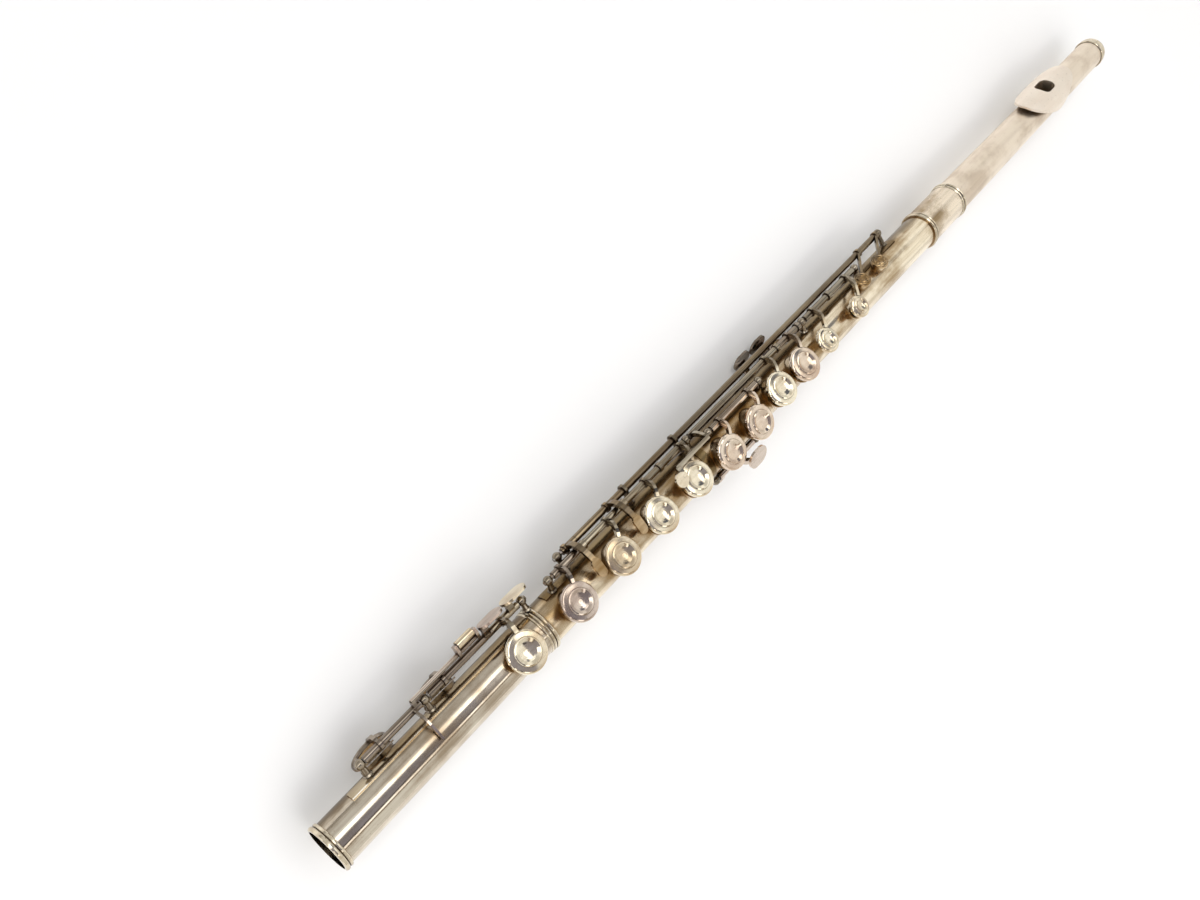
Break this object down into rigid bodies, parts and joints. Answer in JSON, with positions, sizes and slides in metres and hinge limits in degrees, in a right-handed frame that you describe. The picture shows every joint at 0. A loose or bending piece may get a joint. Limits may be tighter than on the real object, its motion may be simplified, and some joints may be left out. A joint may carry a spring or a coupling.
{
  "type": "concert flute",
  "caption": "Closed-hole transverse concert flute with a C foot: head joint with lip plate, tuning slide, padded keys on long rods, trill, thumb and foot keys.",
  "frame": {"origin": "centre of the foot's open end, on the axis of the bore", "axes": "+X along the bore from the head to the foot, +Z the way the main key cups face, -Y the side of the long rods"},
  "size_m": [0.6803, 0.0427, 0.0384],
  "materials": {
    "head_silver": "silver plate on nickel silver, tarnished",
    "lip_silver": "silver plate, worn matt",
    "tube_silver": "silver plate on nickel silver, tarnished",
    "key_silver": "silver plate on nickel silver, tarnished",
    "post_silver": "silver plate, dark with tarnish",
    "rod_steel": "blued steel",
    "pad_skin": "aged skin over felt",
    "cork": "natural cork"
  },
  "bodies": {
    "body": {"body_tube": "tube_silver", "barrel": "tube_silver", "barrel_rings": "tube_silver", "body_ribs": "post_silver", "body_posts": "post_silver", "hinge_steels": "rod_steel", "needle_springs": "rod_steel"},
    "head_joint": {"head_tube": "head_silver", "riser": "head_silver", "lip_plate": "lip_silver"},
    "crown_cap": {"crown": "head_silver"},
    "stopper": {"stopper_screw": "rod_steel", "stopper_plates": "head_silver", "stopper_cork": "cork"},
    "c_sharp": {"c_sharp_key": "key_silver", "c_sharp_pad": "pad_skin"},
    "b_flat": {"bb_key": "key_silver", "bb_pad": "pad_skin"},
    "a": {"a_key": "key_silver", "a_pad": "pad_skin"},
    "g": {"g_keys": "key_silver", "g_pads": "pad_skin"},
    "f_sharp": {"f_sharp_key": "key_silver", "f_sharp_pad": "pad_skin"},
    "f": {"f_key": "key_silver", "f_pad": "pad_skin"},
    "e": {"e_key": "key_silver", "e_pad": "pad_skin"},
    "d": {"d_key": "key_silver", "d_pad": "pad_skin"},
    "shake_lever": {"bb_lever": "key_silver"},
    "thumb_b": {"thumb_b_key": "key_silver", "thumb_b_pad": "pad_skin"},
    "thumb_b_flat": {"thumb_bb_lever": "key_silver"},
    "g_sharp": {"g_sharp_key": "key_silver", "g_sharp_pad": "pad_skin"},
    "d_trill": {"d_trill_key": "key_silver", "d_trill_pad": "pad_skin"},
    "d_sharp_trill": {"d_sharp_trill_key": "key_silver", "d_sharp_trill_pad": "pad_skin", "trill_steel": "rod_steel"},
    "foot_joint": {"foot_tube": "tube_silver", "foot_socket": "tube_silver", "foot_rings": "tube_silver", "foot_rib": "post_silver", "foot_posts": "post_silver", "foot_steel": "rod_steel", "foot_springs": "rod_steel"},
    "e_flat": {"eb_key": "key_silver", "eb_pad": "pad_skin"},
    "low_c_sharp": {"low_c_sharp_key": "key_silver", "low_c_sharp_pad": "pad_skin"},
    "low_c": {"low_c_key": "key_silver", "low_c_pad": "pad_skin"},
    "roller": {"low_c_roller": "key_silver"}
  },
  "joints": [
    {"name": "tuning_slide", "type": "slide", "parent": "body", "child": "head_joint", "axis": [-1, 0, 0], "range_m": [0, 0.015]},
    {"name": "foot_turn", "type": "hinge", "parent": "body", "child": "foot_joint", "pos_m": [-0.118, 0, 0], "axis": [1, 0, 0], "range_deg": [-20, 20]},
    {"name": "crown_turn", "type": "hinge", "parent": "head_joint", "child": "crown_cap", "pos_m": [-0.676, 0, 0], "axis": [1, 0, 0], "range_deg": [-1080.5, 1080.5]},
    {"name": "stopper_slide", "type": "slide", "parent": "head_joint", "child": "stopper", "axis": [1, 0, 0], "range_m": [-0.003, 0.003]},
    {"name": "c_sharp_press", "type": "hinge", "parent": "body", "child": "c_sharp", "pos_m": [-0.358, -0.01462, 0.00651], "axis": [-1, 0, 0], "range_deg": [0, 9], "stiffness_Nm_per_rad": 0.02, "springref_deg": -11.46},
    {"name": "b_flat_press", "type": "hinge", "parent": "body", "child": "b_flat", "pos_m": [-0.32, -0.01462, 0.00651], "axis": [-1, 0, 0], "range_deg": [0, 9], "stiffness_Nm_per_rad": 0.02, "springref_deg": -11.46},
    {"name": "a_press", "type": "hinge", "parent": "body", "child": "a", "pos_m": [-0.288, -0.01462, 0.00651], "axis": [-1, 0, 0], "range_deg": [0, 9], "stiffness_Nm_per_rad": 0.02, "springref_deg": -11.46},
    {"name": "g_press", "type": "hinge", "parent": "body", "child": "g", "pos_m": [-0.264, -0.01079, 0.01042], "axis": [-1, 0, 0], "range_deg": [0, 9], "stiffness_Nm_per_rad": 0.02, "springref_deg": -11.46},
    {"name": "f_sharp_press", "type": "hinge", "parent": "body", "child": "f_sharp", "pos_m": [-0.221, -0.01462, 0.00651], "axis": [-1, 0, 0], "range_deg": [0, 9], "stiffness_Nm_per_rad": 0.02, "springref_deg": -11.46},
    {"name": "f_press", "type": "hinge", "parent": "body", "child": "f", "pos_m": [-0.198, -0.01462, 0.00651], "axis": [-1, 0, 0], "range_deg": [0, 9], "stiffness_Nm_per_rad": 0.02, "springref_deg": -11.46},
    {"name": "e_press", "type": "hinge", "parent": "body", "child": "e", "pos_m": [-0.171, -0.01462, 0.00651], "axis": [-1, 0, 0], "range_deg": [0, 9], "stiffness_Nm_per_rad": 0.02, "springref_deg": -11.46},
    {"name": "d_press", "type": "hinge", "parent": "body", "child": "d", "pos_m": [-0.147, -0.01462, 0.00651], "axis": [-1, 0, 0], "range_deg": [0, 9], "stiffness_Nm_per_rad": 0.02, "springref_deg": -11.46},
    {"name": "shake_press", "type": "hinge", "parent": "body", "child": "shake_lever", "pos_m": [-0.248, -0.01462, 0.00651], "axis": [-1, 0, 0], "range_deg": [0, 4], "stiffness_Nm_per_rad": 0.02, "springref_deg": -11.46},
    {"name": "thumb_b_press", "type": "hinge", "parent": "body", "child": "thumb_b", "pos_m": [-0.325, 0.00832, -0.01188], "axis": [-1, 0, 0], "range_deg": [0, 9], "stiffness_Nm_per_rad": 0.02, "springref_deg": -11.46},
    {"name": "thumb_b_flat_press", "type": "hinge", "parent": "body", "child": "thumb_b_flat", "pos_m": [-0.302, 0.00832, -0.01188], "axis": [-1, 0, 0], "range_deg": [0, 9], "stiffness_Nm_per_rad": 0.02, "springref_deg": -11.46},
    {"name": "g_sharp_open", "type": "hinge", "parent": "body", "child": "g_sharp", "pos_m": [-0.248, 0.01335, -0.00117], "axis": [1, 0, 0], "range_deg": [0, 7], "stiffness_Nm_per_rad": 0.02, "springref_deg": -11.46},
    {"name": "d_trill_open", "type": "hinge", "parent": "body", "child": "d_trill", "pos_m": [-0.288, -0.01783, 0.0025], "axis": [1, 0, 0], "range_deg": [0, 8], "stiffness_Nm_per_rad": 0.02, "springref_deg": -11.46},
    {"name": "d_sharp_trill_open", "type": "hinge", "parent": "body", "child": "d_sharp_trill", "pos_m": [-0.282, -0.01783, 0.0025], "axis": [1, 0, 0], "range_deg": [0, 8], "stiffness_Nm_per_rad": 0.02, "springref_deg": -11.46},
    {"name": "e_flat_open", "type": "hinge", "parent": "foot_joint", "child": "e_flat", "pos_m": [-0.109, -0.01585, 0.00337], "axis": [1, 0, 0], "range_deg": [0, 9], "stiffness_Nm_per_rad": 0.02, "springref_deg": -11.46},
    {"name": "low_c_sharp_press", "type": "hinge", "parent": "foot_joint", "child": "low_c_sharp", "pos_m": [-0.084, -0.01585, 0.00337], "axis": [1, 0, 0], "range_deg": [0, 9], "stiffness_Nm_per_rad": 0.02, "springref_deg": -11.46},
    {"name": "low_c_press", "type": "hinge", "parent": "foot_joint", "child": "low_c", "pos_m": [-0.046, -0.01585, 0.00337], "axis": [1, 0, 0], "range_deg": [0, 9], "stiffness_Nm_per_rad": 0.02, "springref_deg": -11.46},
    {"name": "roller_spin", "type": "hinge", "parent": "low_c", "child": "roller", "pos_m": [-0.0904, -0.02279, 0.00648], "axis": [1, 0, 0], "continuous": true}
  ],
  "couplings": [
    {"joint": "b_flat_press", "follows": "a_press", "ratio": 1},
    {"joint": "f_sharp_press", "follows": "f_press", "ratio": 1},
    {"joint": "crown_turn", "follows": "stopper_slide", "rad_per_m": 6283.2}
  ]
}
